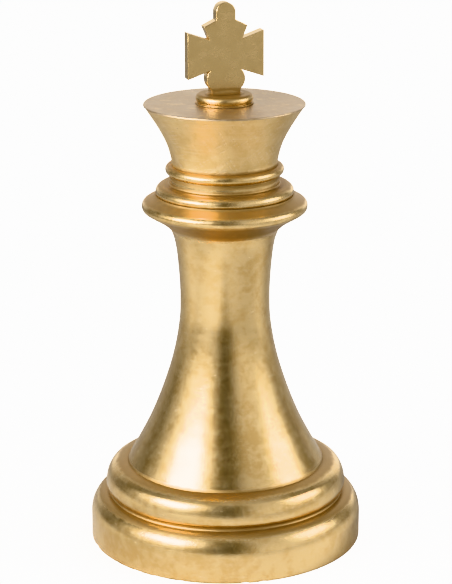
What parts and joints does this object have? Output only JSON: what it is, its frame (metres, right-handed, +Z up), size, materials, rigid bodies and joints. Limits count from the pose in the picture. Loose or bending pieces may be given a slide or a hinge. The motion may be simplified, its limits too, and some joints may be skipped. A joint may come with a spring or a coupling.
{
  "type": "giant chess king",
  "caption": "Giant gilded chess king: turned base, flared stem, collar, flared crown, and a cross finial that screws out of the crown.",
  "frame": {"origin": "centre of the felt foot's underside, on the floor", "axes": "+Z up along the turning axis; +X along the cross's side arms; -Y out of the cross's front face"},
  "size_m": [0.37, 0.37, 0.735],
  "materials": {
    "felt": "pressed felt, matt",
    "cover_board": "birch plywood, unfinished",
    "screws": "zinc-plated",
    "weight": "as cast",
    "base_leaf": "gold leaf over gesso, satin, lightly rubbed",
    "stem_leaf": "gold leaf over gesso, satin, lightly rubbed",
    "collar_leaf": "gold leaf over gesso, satin, lightly rubbed",
    "crown_leaf": "gold leaf over gesso, satin, lightly rubbed",
    "lid_leaf": "gold leaf over gesso, matt satin",
    "bush": "machined",
    "finial_gilt": "cast and gilded, satin, polished edges",
    "fastener_steel": "zinc-plated, threads shown plain"
  },
  "bodies": {
    "root": {"foot_pad": "felt", "weight_cover": "cover_board", "cover_screw_1": "screws", "cover_screw_2": "screws", "cover_screw_3": "screws", "cover_screw_4": "screws", "cover_screw_5": "screws", "cover_screw_6": "screws", "base_weight": "weight", "base_plinth": "base_leaf", "base_ring": "base_leaf", "stem": "stem_leaf", "collar": "collar_leaf", "collar_bead": "collar_leaf", "neck_ring": "collar_leaf", "crown_ring": "collar_leaf", "crown_body": "crown_leaf", "crown_lid": "lid_leaf", "crown_bush": "bush", "finial_seat": "finial_gilt", "tie_rod": "fastener_steel", "lower_washer": "fastener_steel", "lower_nut": "fastener_steel", "upper_washer": "fastener_steel", "upper_nut": "fastener_steel"},
    "stud": {"finial_stud": "fastener_steel"},
    "finial": {"finial_cross": "finial_gilt", "finial_button": "finial_gilt"}
  },
  "joints": [
    {"name": "finial_rise", "type": "slide", "parent": "root", "child": "stud", "axis": [0, 0, 1], "range_m": [0, 0.0124]},
    {"name": "finial_turn", "type": "hinge", "parent": "stud", "child": "finial", "pos_m": [0, 0, 0.6036], "axis": [0, 0, 1], "range_deg": [0, 2970]}
  ],
  "couplings": [
    {"joint": "finial_rise", "follows": "finial_turn", "m_per_rad": 0.00023873}
  ]
}
